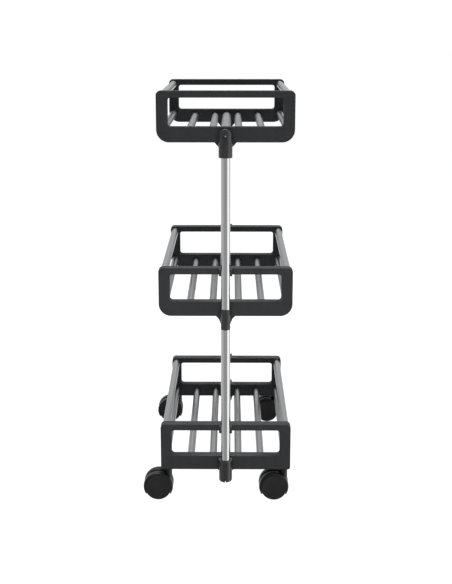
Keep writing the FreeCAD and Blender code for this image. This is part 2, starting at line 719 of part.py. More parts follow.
for thing in doc.Objects:
    if {"Invalid", "Error"} & set(thing.State):
        raise RuntimeError(f"{thing.Label} did not build: {thing.State}")
    removes = thing.TypeId == "PartDesign::Pocket" or "Subtractive" in thing.TypeId
    if removes and thing.Shape.Volume > thing.BaseFeature.Shape.Volume - 1:
        raise RuntimeError(f"{thing.Label} cuts nothing")
for node in nodes:
    if node.Shape.isNull() or not node.Shape.isValid():
        raise RuntimeError(f"{node.Label} has no valid shape")

os.makedirs("parts", exist_ok=True)
for node in nodes:
    node.Shape.exportStep(f"parts/{node.Label}.step")
print(f"{len(nodes)} nodes, {sum(len(node.Shape.Solids) for node in nodes)} solids")
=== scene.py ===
"""Looks of a slim three-tier trolley: charcoal panels, satin tubes, bright poles, black casters."""
import math

import bmesh
import bpy
from mathutils import Matrix, Vector


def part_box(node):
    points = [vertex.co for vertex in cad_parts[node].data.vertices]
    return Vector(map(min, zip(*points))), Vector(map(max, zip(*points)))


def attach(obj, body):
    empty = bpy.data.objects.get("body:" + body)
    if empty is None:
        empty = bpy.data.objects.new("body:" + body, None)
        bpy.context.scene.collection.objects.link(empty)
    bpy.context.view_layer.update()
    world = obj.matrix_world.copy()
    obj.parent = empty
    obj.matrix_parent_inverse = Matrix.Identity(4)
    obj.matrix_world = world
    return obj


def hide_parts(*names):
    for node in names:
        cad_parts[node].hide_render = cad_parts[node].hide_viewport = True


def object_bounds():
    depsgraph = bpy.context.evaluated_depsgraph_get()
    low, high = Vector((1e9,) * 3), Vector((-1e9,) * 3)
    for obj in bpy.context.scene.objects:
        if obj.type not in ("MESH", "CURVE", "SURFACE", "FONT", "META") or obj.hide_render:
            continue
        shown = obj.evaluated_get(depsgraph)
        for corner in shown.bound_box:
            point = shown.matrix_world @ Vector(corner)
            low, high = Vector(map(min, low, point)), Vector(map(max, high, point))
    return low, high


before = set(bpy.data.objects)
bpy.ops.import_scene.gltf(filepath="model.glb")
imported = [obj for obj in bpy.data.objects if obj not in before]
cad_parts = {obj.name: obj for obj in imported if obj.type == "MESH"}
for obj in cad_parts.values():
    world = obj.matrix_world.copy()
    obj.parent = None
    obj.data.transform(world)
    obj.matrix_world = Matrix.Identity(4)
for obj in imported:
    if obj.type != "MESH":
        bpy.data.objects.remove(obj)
cad_low, cad_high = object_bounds()

# ---- End panels ---------------------------------------------------------------------------------
# Each tray ends in two flat frames, moulded in one piece from charcoal plastic with a fine
# matt grain. A tab below the middle backs the pole connector, and the two lower trays' panels have
# an open clip at the top that grips the pole.

MM = 0.001
END_SIGN = {"front": -1, "rear": 1}
SIDE_SIGN = {"left": -1, "right": 1}
TRAY_NAMES = ("bottom", "middle", "top")
PANEL_ROUND = 1.1 * MM
WINDOW_SIDE, WINDOW_TOP, WINDOW_BOTTOM, WINDOW_ROUND = 20.5 * MM, 12 * MM, 28 * MM, 6 * MM
PANEL_HEIGHT = 92.4 * MM
SMOOTH_ANGLE = math.radians(32)

top_panel_low, top_panel_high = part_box("front_panel_top")
panel_half = (top_panel_high.x - top_panel_low.x) / 2
panel_thick = top_panel_high.y - top_panel_low.y
panel_y = -(top_panel_low.y + top_panel_high.y) / 2
pole_low, pole_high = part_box("front_pole_upper")
pole_radius = (pole_high.x - pole_low.x) / 2
pole_y = -(pole_low.y + pole_high.y) / 2
tray_z = {tray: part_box(f"front_panel_{tray}")[1].z - PANEL_HEIGHT for tray in TRAY_NAMES}


class Wire:
    """One output of a shader node. A sum or product of wires adds a Math node."""

    def __init__(self, finish, socket):
        self.finish = finish
        self.socket = socket

    def sum_with(self, operation, *values):
        return self.finish.node("ShaderNodeMath", {"operation": operation}, dict(enumerate(values)))

    def __add__(self, other):
        return self.sum_with("ADD", self, other)

    def __mul__(self, other):
        return self.sum_with("MULTIPLY", self, other)


class Finish:
    """A material being made; node() adds each of its nodes."""

    def __init__(self, name):
        self.material = bpy.data.materials.new(name)
        self.material.use_nodes = True
        self.tree = self.material.node_tree
        self.tree.nodes.clear()

    def node(self, kind, settings=None, inputs=None, output=0):
        made = self.tree.nodes.new(kind)
        for name, value in (settings or {}).items():
            setattr(made, name, value)
        for key, value in (inputs or {}).items():
            if isinstance(value, Wire):
                self.tree.links.new(value.socket, made.inputs[key])
            else:
                made.inputs[key].default_value = value
        return Wire(self, made.outputs[output])

    def place(self, stretch=(1, 1, 1)):
        """Object coordinates, in metres, stretched along the axes."""
        here = self.node("ShaderNodeTexCoord", output="Object")
        return self.node("ShaderNodeMapping", {}, {"Vector": here, "Scale": stretch})

    def noise(self, place, scale, detail=3.0, roughness=0.55):
        return self.node("ShaderNodeTexNoise", {},
                         {"Vector": place, "Scale": scale, "Detail": detail, "Roughness": roughness})

    def ramp(self, wire, low, high, out_low=0.0, out_high=1.0):
        """A value spread from low..high to out_low..out_high, held at both ends."""
        return self.node("ShaderNodeMapRange", {"clamp": True},
                         {"Value": wire, "From Min": low, "From Max": high,
                          "To Min": out_low, "To Max": out_high})

    def mix(self, factor, first, second):
        return self.node("ShaderNodeMix", {"data_type": "RGBA"},
                         {"Factor": factor, "A": (*first, 1) if isinstance(first, tuple) else first,
                          "B": (*second, 1) if isinstance(second, tuple) else second}, output="Result")

    def bump(self, height, distance, strength=1.0):
        return self.node("ShaderNodeBump", {},
                         {"Height": height, "Distance": distance, "Strength": strength})

    def finished(self, **inputs):
        """Close the material with one Principled shader; underscores stand for spaces."""
        named = {key.replace("_", " "): value for key, value in inputs.items()}
        shader = self.node("ShaderNodeBsdfPrincipled", {}, named)
        self.node_output(shader)
        return self.material

    def node_output(self, shader):
        out = self.tree.nodes.new("ShaderNodeOutputMaterial")
        self.tree.links.new(shader.socket, out.inputs["Surface"])


GRAIN_DEPTH, GRAIN_SHARE, ROUGHNESS_SPREAD = 0.05 * MM, 0.12, 0.07


def grained_plastic(name, dark, light, roughness, grain, gloss):
    """Moulded plastic: a spark-eroded grain and a faint cloudiness; gloss is its specular level."""
    finish = Finish(name)
    place = finish.place()
    cloud = finish.noise(place, 26.0, 4.0)
    grit = finish.noise(place, grain, 2.0, 0.6)
    flow = finish.noise(finish.place((1, 1, 0.15)), 90.0, 3.0)
    tone = finish.ramp(cloud * 0.6 + flow * 0.4, 0.35, 0.65)
    return finish.finished(
        Base_Color=finish.mix(tone, dark, light),
        Roughness=finish.ramp(grit * 0.5 + cloud * 0.5, 0.3, 0.7,
                              roughness - ROUGHNESS_SPREAD, roughness + ROUGHNESS_SPREAD),
        Normal=finish.bump(grit, GRAIN_DEPTH, GRAIN_SHARE), Specular_IOR_Level=gloss)


panel_plastic = grained_plastic("panel_plastic", (0.0205, 0.021, 0.0225), (0.0255, 0.026, 0.0275),
                                0.78, 1900.0, 0.04)


def rounded_outline(corners, step=math.radians(9)):
    """Points round a closed outline whose corners (x, y, radius) are turned into arcs."""
    points = []
    count = len(corners)
    for k, (x, y, radius) in enumerate(corners):
        here = Vector((x, y))
        before = (Vector(corners[k - 1][:2]) - here).normalized()
        after = (Vector(corners[(k + 1) % count][:2]) - here).normalized()
        if radius <= 0:
            points.append(here)
            continue
        half = before.angle(after) / 2
        centre = here + (before + after).normalized() * (radius / math.sin(half))
        start = here + before * (radius / math.tan(half)) - centre
        turn = start.angle_signed(here + after * (radius / math.tan(half)) - centre)
        steps = max(2, math.ceil(abs(turn) / step))
        points += [centre + Matrix.Rotation(-turn * n / steps, 2) @ start for n in range(steps + 1)]
    return points


def mirrored(half):
    """The corners of one half, down its right side, then the left side's in return."""
    return half + [(-x, y, radius) for x, y, radius in reversed(half)]


def settle(mesh):
    """Merge doubles, point the faces outwards and shade smooth except at real edges."""
    work = bmesh.new()
    work.from_mesh(mesh)
    bmesh.ops.remove_doubles(work, verts=work.verts, dist=1e-6)
    bmesh.ops.dissolve_degenerate(work, edges=work.edges, dist=1e-7)
    bmesh.ops.recalc_face_normals(work, faces=work.faces)
    work.to_mesh(mesh)
    work.free()
    mesh.polygons.foreach_set("use_smooth", [True] * len(mesh.polygons))
    mesh.set_sharp_from_angle(angle=SMOOTH_ANGLE)
    return mesh


def moulded_plate(name, outlines, thick, rounding):
    """A flat plate in XY with rounded edges, centred on z = 0; inner outlines are holes."""
    curve = bpy.data.curves.new(name, "CURVE")
    curve.dimensions, curve.fill_mode = "2D", "BOTH"
    curve.extrude, curve.bevel_depth = thick / 2 - rounding, rounding
    curve.bevel_resolution, curve.offset = 3, -rounding
    for points in outlines:
        spline = curve.splines.new("POLY")
        spline.points.add(len(points) - 1)
        for spline_point, point in zip(spline.points, points):
            spline_point.co = (point.x, point.y, 0, 1)
        spline.use_cyclic_u = True
    drawn = bpy.data.objects.new(name, curve)
    bpy.context.scene.collection.objects.link(drawn)
    mesh = bpy.data.meshes.new_from_object(drawn.evaluated_get(bpy.context.evaluated_depsgraph_get()))
    bpy.data.objects.remove(drawn)
    bpy.data.curves.remove(curve)
    mesh.name = name
    return mesh


def joined(name, *meshes):
    """One mesh of several closed shells."""
    work = bmesh.new()
    for mesh in meshes:
        work.from_mesh(mesh)
        bpy.data.meshes.remove(mesh)
    made = bpy.data.meshes.new(name)
    work.to_mesh(made)
    work.free()
    return made


def piece(name, mesh, material, body, replaced=()):
    """A finished object at the origin, riding on its body."""
    thing = bpy.data.objects.new(name, mesh)
    bpy.context.scene.collection.objects.link(thing)
    mesh.materials.clear()
    mesh.materials.append(material)
    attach(thing, body)
    if replaced:
        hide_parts(*replaced)
    return thing


def weighted(thing):
    """Let the large flat faces set the normals, so that rounded edges shade cleanly."""
    modifier = thing.modifiers.new("flat faces", "WEIGHTED_NORMAL")
    modifier.keep_sharp = True
    return thing


UPRIGHT = Matrix.Rotation(math.radians(90), 4, "X")
TOP_ROUND = 8 * MM
LOW_ROUND = {"bottom": 4.5 * MM, "middle": 23 * MM, "top": 23 * MM}
TAB_CORNERS = {
    "bottom": [(15.3 * MM, 0, 1.5 * MM), (12.3 * MM, -3 * MM, 2 * MM), (12.3 * MM, -16 * MM, 10.5 * MM)],
    "middle": [(18.3 * MM, 0, 2 * MM), (12.8 * MM, -5.5 * MM, 2 * MM), (8.8 * MM, -16 * MM, 1 * MM)],
    "top": [(20 * MM, 0, 2 * MM), (12.3 * MM, -9 * MM, 2 * MM), (12.3 * MM, -24 * MM, 1.5 * MM)],
}
CLIP_ARM, CLIP_REACH, CLIP_GAP, CLIP_TIP, CLIP_ROUND = 3.7 * MM, 12 * MM, 0.15 * MM, 1.2 * MM, 0.5 * MM
CLIP_INTO_PANEL = 2 * MM


def clip_outline():
    """The clip from above, its open mouth away from the panel; +Y is towards the panel."""
    pole_from_face = pole_y - panel_y - panel_thick / 2
    bore = pole_radius + CLIP_GAP
    side = bore + CLIP_ARM
    lip = math.asin((CLIP_REACH - pole_from_face) / bore)
    arc = [Vector((bore * math.cos(a), bore * math.sin(a) - pole_from_face))
           for a in (-lip + (math.pi + 2 * lip) * n / 36 for n in range(37))]
    ends = rounded_outline([(-side, -CLIP_REACH, CLIP_TIP), (-side, CLIP_INTO_PANEL, 0),
                            (side, CLIP_INTO_PANEL, 0), (side, -CLIP_REACH, CLIP_TIP)])
    return arc + ends


def panel_mesh(end, tray):
    """One end panel with its tab and clip, its outer face towards the end of the cart."""
    outer = rounded_outline(mirrored([(panel_half, PANEL_HEIGHT, TOP_ROUND),
                                      (panel_half, 0, LOW_ROUND[tray])] + TAB_CORNERS[tray]))
    side, top = panel_half - WINDOW_SIDE, PANEL_HEIGHT - WINDOW_TOP
    window = rounded_outline(mirrored([(side, top, WINDOW_ROUND), (side, WINDOW_BOTTOM, WINDOW_ROUND)]))
    plate = moulded_plate("plate", [outer, window], panel_thick, PANEL_ROUND)
    plate.transform(UPRIGHT)
    shells = [plate]
    if tray != "top":
        clip = moulded_plate("clip", [clip_outline()], WINDOW_TOP, CLIP_ROUND)
        clip.transform(Matrix.Translation((0, -panel_thick / 2, PANEL_HEIGHT - WINDOW_TOP / 2)))
        shells.append(clip)
    mesh = joined(f"{end}_panel_{tray}", *shells)
    turn = Matrix.Rotation(0 if END_SIGN[end] < 0 else math.pi, 4, "Z")
    mesh.transform(Matrix.Translation((0, panel_y * END_SIGN[end], tray_z[tray])) @ turn)
    return settle(mesh)


for end in END_SIGN:
    for tray in TRAY_NAMES:
        weighted(piece(f"moulded_{end}_panel_{tray}", panel_mesh(end, tray), panel_plastic,
                       "cart_frame", [f"{end}_panel_{tray}"]))

# ---- Side rails ---------------------------------------------------------------------------------
# Four round aluminium tubes a tray, two on each side, drawn and satin anodised. They are cut
# square, deburred and pushed into blind seats in the panels.

TUBE_WALL, TUBE_CHAMFER = 1 * MM, 0.3 * MM
DRAW_DEPTH = 0.01 * MM
TURN_STEPS = 48


def drawn_metal(name, dark, light, roughness, along, streak):
    """Metal tube with fine drawing lines along it, a soft tone and a few faint handling marks."""
    finish = Finish(name)
    fine, broad = [1.0, 1.0, 1.0], [1.0, 1.0, 1.0]
    fine["XYZ".index(along)], broad["XYZ".index(along)] = 0.001, 0.004
    lines = finish.noise(finish.place(tuple(fine)), 2600.0, 4.0, 0.6)
    bands = finish.noise(finish.place(tuple(broad)), 420.0, 2.0)
    cloud = finish.noise(finish.place(), 18.0, 3.0)
    tone = finish.ramp(lines * 0.3 + bands * 0.3 + cloud * 0.4, 0.35, 0.65)
    rough = finish.ramp(lines * 0.4 + cloud * 0.6, 0.35, 0.65, roughness - 0.03, roughness + 0.05)
    return finish.finished(Base_Color=finish.mix(tone, dark, light), Metallic=1.0, Roughness=rough,
                           Normal=finish.bump(lines, DRAW_DEPTH, streak))


rail_metal = drawn_metal("rail_metal", (0.365, 0.37, 0.38), (0.415, 0.42, 0.43), 0.30, "Y", 0.04)


def turned(name, profile, steps=TURN_STEPS, sweep=math.tau, start=0.0):
    """A closed profile of (along, radius) points swept round the Z axis."""
    work = bmesh.new()
    whole = sweep >= math.tau - 1e-6
    rings = []
    for n in range(steps if whole else steps + 1):
        angle = start + sweep * n / steps
        rings.append([work.verts.new((radius * math.cos(angle), radius * math.sin(angle), along))
                      for along, radius in profile])
    count = len(profile)
    for n in range(steps):
        first, second = rings[n], rings[(n + 1) % len(rings)]
        for k in range(count):
            work.faces.new((first[k], second[k], second[(k + 1) % count], first[(k + 1) % count]))
    if not whole:
        work.faces.new(rings[0])
        work.faces.new(list(reversed(rings[-1])))
    mesh = bpy.data.meshes.new(name)
    work.to_mesh(mesh)
    work.free()
    return mesh


def tube_profile(length, radius, wall, chamfer):
    """Half section of a tube from 0 to its length, with deburred ends."""
    bore = radius - wall
    return [(0, radius - chamfer), (chamfer, radius), (length - chamfer, radius),
            (length, radius - chamfer), (length, bore + chamfer), (length - chamfer, bore),
            (chamfer, bore), (0, bore + chamfer)]


ALONG_Y = Matrix.Rotation(math.radians(-90), 4, "X")


def tube_for(node, wall, along_y):
    """A tube that fills a CAD node's box."""
    low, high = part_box(node)
    length = high.y - low.y if along_y else high.z - low.z
    radius = (high.x - low.x) / 2
    mesh = turned(node, tube_profile(length, radius, wall, TUBE_CHAMFER))
    middle = (low + high) / 2
    if along_y:
        mesh.transform(Matrix.Translation((middle.x, low.y, middle.z)) @ ALONG_Y)
    else:
        mesh.transform(Matrix.Translation((middle.x, middle.y, low.z)))
    return settle(mesh)


for tray in TRAY_NAMES:
    for side in SIDE_SIGN:
        for level in ("upper", "lower"):
            node = f"{tray}_{level}_rail_{side}"
            piece("drawn_" + node, tube_for(node, TUBE_WALL, True), rail_metal,
                  "cart_frame", [node])

# ---- Floor rods ---------------------------------------------------------------------------------
# Four more tubes of the same stock make each tray's floor, two on each side of its tie tube. They
# are one tube set out by its distance from the middle.


def new_group(name, sizes):
    """An empty Geometry Nodes tree with named number inputs and a geometry output."""
    tree = bpy.data.node_groups.new(name, "GeometryNodeTree")
    tree.interface.new_socket("Geometry", in_out="INPUT", socket_type="NodeSocketGeometry")
    for size_name in sizes:
        tree.interface.new_socket(size_name, in_out="INPUT", socket_type="NodeSocketFloat")
    tree.interface.new_socket("Material", in_out="INPUT", socket_type="NodeSocketMaterial")
    tree.interface.new_socket("Geometry", in_out="OUTPUT", socket_type="NodeSocketGeometry")
    return tree, tree.nodes.new("NodeGroupInput"), tree.nodes.new("NodeGroupOutput")


def add(tree, kind, settings=None, inputs=None):
    """Add a node to a Geometry Nodes tree; inputs are values or other nodes' outputs."""
    made = tree.nodes.new(kind)
    for name, value in (settings or {}).items():
        setattr(made, name, value)
    for key, value in (inputs or {}).items():
        if isinstance(value, bpy.types.NodeSocket):
            tree.links.new(value, made.inputs[key])
        else:
            made.inputs[key].default_value = value
    return made


def close_group(tree, shape, material, out):
    """Every tree ends by making its instances real and giving them their material."""
    real = add(tree, "GeometryNodeRealizeInstances", inputs={"Geometry": shape})
    painted = add(tree, "GeometryNodeSetMaterial",
                  inputs={"Geometry": real.outputs[0], "Material": material})
    tree.links.new(painted.outputs[0], out.inputs[0])


def run_group(name, tree, material, mesh=None, **sizes):
    """Evaluate a tree once, on a mesh or on nothing, and return its plain mesh."""
    holder = bpy.data.objects.new(name, mesh or bpy.data.meshes.new(name))
    bpy.context.scene.collection.objects.link(holder)
    modifier = holder.modifiers.new(name, "NODES")
    modifier.node_group = tree
    sockets = {item.name: item.identifier for item in tree.interface.items_tree
               if item.in_out == "INPUT"}
    modifier[sockets["Material"]] = material
    for size_name, value in sizes.items():
        modifier[sockets[size_name]] = float(value)
    holder.update_tag()
    bpy.context.view_layer.update()
    mesh = bpy.data.meshes.new_from_object(holder.evaluated_get(bpy.context.evaluated_depsgraph_get()))
    bpy.data.objects.remove(holder)
    mesh.name = name
    return mesh


def rod_group():
    """Tubes along Y at plus and minus Near and Far, at height Height."""
    tree, given, out = new_group("floor_rods", ("Radius", "Length", "Near", "Far", "Height"))
    half = add(tree, "ShaderNodeMath", {"operation": "MULTIPLY"}, {0: given.outputs["Length"], 1: 0.5})
    less = add(tree, "ShaderNodeMath", {"operation": "MULTIPLY"}, {0: given.outputs["Length"], 1: -0.5})
    start = add(tree, "ShaderNodeCombineXYZ", inputs={"Y": less.outputs[0]})
    finish_at = add(tree, "ShaderNodeCombineXYZ", inputs={"Y": half.outputs[0]})
    line = add(tree, "GeometryNodeCurvePrimitiveLine",
               inputs={"Start": start.outputs[0], "End": finish_at.outputs[0]})
    ring = add(tree, "GeometryNodeCurvePrimitiveCircle",
               inputs={"Resolution": TURN_STEPS, "Radius": given.outputs["Radius"]})
    rod = add(tree, "GeometryNodeCurveToMesh",
              inputs={"Curve": line.outputs[0], "Profile Curve": ring.outputs[0], "Fill Caps": True})
    sets = []
    for offset in ("Near", "Far"):
        minus = add(tree, "ShaderNodeMath", {"operation": "MULTIPLY"},
                    {0: given.outputs[offset], 1: -1.0})
        double = add(tree, "ShaderNodeMath", {"operation": "MULTIPLY"},
                     {0: given.outputs[offset], 1: 2.0})
        first = add(tree, "ShaderNodeCombineXYZ",
                    inputs={"X": minus.outputs[0], "Z": given.outputs["Height"]})
        apart = add(tree, "ShaderNodeCombineXYZ", inputs={"X": double.outputs[0]})
        points = add(tree, "GeometryNodeMeshLine", inputs={
            "Count": 2, "Start Location": first.outputs[0], "Offset": apart.outputs[0]})
        sets.append(add(tree, "GeometryNodeInstanceOnPoints", inputs={
            "Points": points.outputs[0], "Instance": rod.outputs[0]}))
    both = add(tree, "GeometryNodeJoinGeometry")
    for made in sets:
        tree.links.new(made.outputs[0], both.inputs[0])
    close_group(tree, both.outputs[0], given.outputs["Material"], out)
    return tree


ROD_NEAR = 24.5 * MM
floor_rods = rod_group()
for tray in TRAY_NAMES:
    node = f"{tray}_floor_rods"
    low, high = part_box(node)
    rod_radius = (high.z - low.z) / 2
    mesh = run_group(node, floor_rods, rail_metal, Radius=rod_radius, Length=high.y - low.y,
                     Near=ROD_NEAR, Far=high.x - rod_radius, Height=(low.z + high.z) / 2)
    piece("drawn_" + node, settle(mesh), rail_metal, "cart_frame", [node])

# ---- Tie tubes and their inserts ----------------------------------------------------------------
# One tube under the middle of each floor holds the two panels together. A threaded steel plug in
# each of its ends takes the screw that comes through panel and connector.

TIE_WALL, SPANGLE_DEPTH = 1.5 * MM, 0.01 * MM
for tray in TRAY_NAMES:
    node = f"{tray}_tie_tube"
    piece("drawn_" + node, tube_for(node, TIE_WALL, True), rail_metal, "cart_frame", [node])


def plated_steel(name, dark, light, roughness):
    """Zinc-plated steel: a mottled grey with a little sparkle in its gloss."""
    finish = Finish(name)
    place = finish.place()
    spangle = finish.noise(place, 700.0, 3.0)
    cloud = finish.noise(place, 60.0, 2.0)
    return finish.finished(Base_Color=finish.mix(finish.ramp(spangle, 0.35, 0.65), dark, light),
                           Metallic=1.0,
                           Roughness=finish.ramp(cloud, 0.3, 0.7, roughness - 0.08, roughness + 0.08),
                           Normal=finish.bump(spangle, SPANGLE_DEPTH, 0.3))


steel = plated_steel("steel", (0.46, 0.46, 0.47), (0.60, 0.60, 0.61), 0.36)
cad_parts["tie_inserts"].data.materials.clear()
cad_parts["tie_inserts"].data.materials.append(steel)

# ---- Poles --------------------------------------------------------------------------------------
# The upright at each end is two lengths of bright polished aluminium tube, one above the other,
# joined in the middle and let into a socket at the top and at the foot.

pole_metal = drawn_metal("pole_metal", (0.64, 0.645, 0.64), (0.70, 0.705, 0.70), 0.15, "Z", 0.02)
for end in END_SIGN:
    for part in ("lower", "upper"):
        node = f"{end}_pole_{part}"
        piece("drawn_" + node, tube_for(node, TUBE_WALL, False), pole_metal,
              "cart_frame", [node])

# ---- Pole connectors ----------------------------------------------------------------------------
# Moulded blocks of a smoother, darker plastic than the panels. The top one is a socket under a
# domed lug, the middle one joins the two lengths of pole under a plug that hides its screw, and the
# foot is a socket with a rounded, slit end.

CONNECTOR_ROUND, CAP_ROUND = 0.7 * MM, 0.3 * MM
connector_plastic = grained_plastic("connector_plastic", (0.009, 0.0092, 0.0096), (0.012, 0.0122, 0.0127),
                                    0.25, 2400.0, 0.6)


def softened(node, width, material, body):
    """A merged copy of a CAD node whose real edges are rounded."""
    work = bmesh.new()
    work.from_mesh(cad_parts[node].data)
    bmesh.ops.remove_doubles(work, verts=work.verts, dist=2e-6)
    bmesh.ops.dissolve_limit(work, angle_limit=math.radians(0.5), verts=work.verts, edges=work.edges)
    mesh = bpy.data.meshes.new(node)
    work.to_mesh(mesh)
    work.free()
    thing = piece("moulded_" + node, mesh, material, body, [node])
    mesh.polygons.foreach_set("use_smooth", [True] * len(mesh.polygons))
    mesh.set_sharp_from_angle(angle=SMOOTH_ANGLE)
    bevel = thing.modifiers.new("moulded edges", "BEVEL")
    bevel.width, bevel.segments = width, 3
    bevel.limit_method, bevel.angle_limit = "ANGLE", SMOOTH_ANGLE
    bevel.harden_normals = True
    return thing


for end in END_SIGN:
    for level in ("top", "middle", "bottom"):
        softened(f"{end}_connector_{level}", CONNECTOR_ROUND, connector_plastic,
                 "cart_frame")
softened("joint_caps", CAP_ROUND, connector_plastic, "cart_frame")

# ---- Screws -------------------------------------------------------------------------------------
# Zinc-plated pan-head screws whose cross recess is painted brighter, partly as wear by the driver and
# partly as a painted highlight.
# Six tie screws pull panels and connectors onto the tie tubes, and two lug screws hold the foot
# connectors.

HEAD_RADIUS, HEAD_HEIGHT, SHANK_RADIUS, SCREW_STEPS = 3.2 * MM, 2.8 * MM, 2 * MM, 32
RECESS_LENGTH, RECESS_WIDTH, RECESS_DEPTH, RECESS_TAPER = 3.4 * MM, 0.95 * MM, 0.9 * MM, 0.6
CROWN_RISE, CROWN_POWER, POINT = 0.34, 0.8, 0.02 * MM


def merged(name, first, second, operation):
    """Two closed meshes put through a Boolean; both are used up."""
    holders = []
    for mesh in (first, second):
        thing = bpy.data.objects.new(name, mesh)
        bpy.context.scene.collection.objects.link(thing)
        holders.append(thing)
    modifier = holders[0].modifiers.new("cut", "BOOLEAN")
    modifier.operation, modifier.solver, modifier.object = operation, "EXACT", holders[1]
    bpy.context.view_layer.update()
    mesh = bpy.data.meshes.new_from_object(
        holders[0].evaluated_get(bpy.context.evaluated_depsgraph_get()))
    for thing in holders:
        used = thing.data
        bpy.data.objects.remove(thing)
        bpy.data.meshes.remove(used)
    mesh.name = name
    return mesh


def block(length, width, height, taper=1.0):
    """A box on z = 0 whose far end, at height, is narrowed by taper."""
    work = bmesh.new()
    bmesh.ops.create_cube(work, size=1.0)
    for vertex in work.verts:
        narrow = taper if vertex.co.z > 0 else 1.0
        vertex.co = (vertex.co.x * length * narrow, vertex.co.y * width * narrow,
                     (vertex.co.z + 0.5) * height)
    mesh = bpy.data.meshes.new("block")
    work.to_mesh(mesh)
    work.free()
    return mesh


def screw_mesh(length):
    """A pan-head screw along Z: the top of its head at z = 0, its shank going to +Z."""
    crown = [(HEAD_HEIGHT * (1 - math.cos(a)) * CROWN_RISE, HEAD_RADIUS * math.sin(a) ** CROWN_POWER)
             for a in (math.radians(15 * n) for n in range(1, 7))]
    profile = [(0, POINT)] + crown + [
        (HEAD_HEIGHT, HEAD_RADIUS), (HEAD_HEIGHT, SHANK_RADIUS),
        (HEAD_HEIGHT + length, SHANK_RADIUS), (HEAD_HEIGHT + length, POINT)]
    head = settle(turned("screw", profile, SCREW_STEPS))
    for turn in (0, 90):
        arm = block(RECESS_LENGTH, RECESS_WIDTH, RECESS_DEPTH * 1.5, RECESS_TAPER)
        arm.transform(Matrix.Rotation(math.radians(turn), 4, "Z")
                      @ Matrix.Translation((0, 0, -RECESS_DEPTH * 0.5)))
        head = merged("screw", head, settle(arm), "DIFFERENCE")
    # Marks the cross recess, which the steel paints brighter: a painted highlight that also stands for
    # wear by the driver.
    recess_wear_and_highlight = head.attributes.new("recess_wear_and_highlight", "FLOAT", "POINT")
    for vertex, wear_and_highlight in zip(head.vertices, recess_wear_and_highlight.data):
        radius = math.hypot(vertex.co.x, vertex.co.y)
        in_recess = radius < RECESS_LENGTH * 0.51 and vertex.co.z < RECESS_DEPTH * 1.01
        wear_and_highlight.value = 1.0 if in_recess else 0.0
    return head


def screw_pair_group():
    """The given screw at both ends of the cart, heads outwards, Reach from the middle."""
    tree, given, out = new_group("screw_pair", ("Reach", "Height"))
    minus = add(tree, "ShaderNodeMath", {"operation": "MULTIPLY"}, {0: given.outputs["Reach"], 1: -1.0})
    double = add(tree, "ShaderNodeMath", {"operation": "MULTIPLY"}, {0: given.outputs["Reach"], 1: 2.0})
    first = add(tree, "ShaderNodeCombineXYZ",
                inputs={"Y": minus.outputs[0], "Z": given.outputs["Height"]})
    apart = add(tree, "ShaderNodeCombineXYZ", inputs={"Y": double.outputs[0]})
    points = add(tree, "GeometryNodeMeshLine", inputs={
        "Count": 2, "Start Location": first.outputs[0], "Offset": apart.outputs[0]})
    index = add(tree, "GeometryNodeInputIndex")
    facing = add(tree, "ShaderNodeMath", {"operation": "MULTIPLY_ADD"},
                 {0: index.outputs[0], 1: math.pi, 2: -math.pi / 2})
    turn = add(tree, "ShaderNodeCombineXYZ", inputs={"X": facing.outputs[0]})
    placed = add(tree, "GeometryNodeInstanceOnPoints", inputs={
        "Points": points.outputs[0], "Instance": given.outputs["Geometry"],
        "Rotation": turn.outputs[0]})
    close_group(tree, placed.outputs[0], given.outputs["Material"], out)
    return tree


def screw_steel():
    """Zinc-plated steel, painted brighter in the cross recess: a painted highlight that also stands for
    wear by the driver.
    """
    finish = Finish("screw_steel")
    place = finish.place()
    speckle = finish.noise(place, 1500.0, 3.0)
    recess_wear_and_highlight = finish.node("ShaderNodeAttribute", {"attribute_name": "recess_wear_and_highlight"}, output="Fac")
    # The recess mark lightens the colour here: a painted highlight, also standing for wear by the driver.
    bright = finish.ramp(recess_wear_and_highlight + speckle * 0.3, 0.5, 0.9)
    return finish.finished(
        Base_Color=finish.mix(bright, (0.72, 0.725, 0.74), (0.95, 0.95, 0.94)), Metallic=1.0,
        Roughness=finish.ramp(speckle, 0.3, 0.7, 0.24, 0.36),
        Normal=finish.bump(speckle, SPANGLE_DEPTH, 0.3))


screw_finish = screw_steel()
screw_pair = screw_pair_group()


def group_of_screws(node, heights):
    """Each pair of a screw node is set where the CAD solids of that height have their heads."""
    corners = [vertex.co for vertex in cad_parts[node].data.vertices]
    shells = []
    for height in heights:
        near = [co for co in corners if abs(co.z - height) < HEAD_RADIUS * 1.2]
        reach = max(co.y for co in near)
        inner = min(co.y for co in near if co.y > 0)
        shells.append(run_group(node, screw_pair, screw_finish,
                                mesh=screw_mesh(reach - inner - HEAD_HEIGHT),
                                Reach=reach, Height=height))
    mesh = joined(node, *shells)
    mesh.polygons.foreach_set("use_smooth", [True] * len(mesh.polygons))
    mesh.set_sharp_from_angle(angle=SMOOTH_ANGLE)
    return piece("driven_" + node, mesh, screw_finish, "cart_frame", [node])


lug_low, lug_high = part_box("lug_screws")
tie_heights = [(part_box(f"{tray}_tie_tube")[0].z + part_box(f"{tray}_tie_tube")[1].z) / 2
               for tray in TRAY_NAMES]
group_of_screws("tie_screws", tie_heights)
group_of_screws("lug_screws", [(lug_low.z + lug_high.z) / 2])

# ---- Caster stems -------------------------------------------------------------------------------
# Plated steel stems, screwed into threaded inserts in the bottom panels' lower edges.

for node in ("caster_stems", "stem_inserts"):
    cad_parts[node].data.materials.clear()
    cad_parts[node].data.materials.append(steel)

# ---- Casters ------------------------------------------------------------------------------------
# Black twin-wheel furniture casters, 50 mm. A plastic housing with two rounded arches turns on its
# stem, and two plain-faced wheels turn on one steel axle through its web.

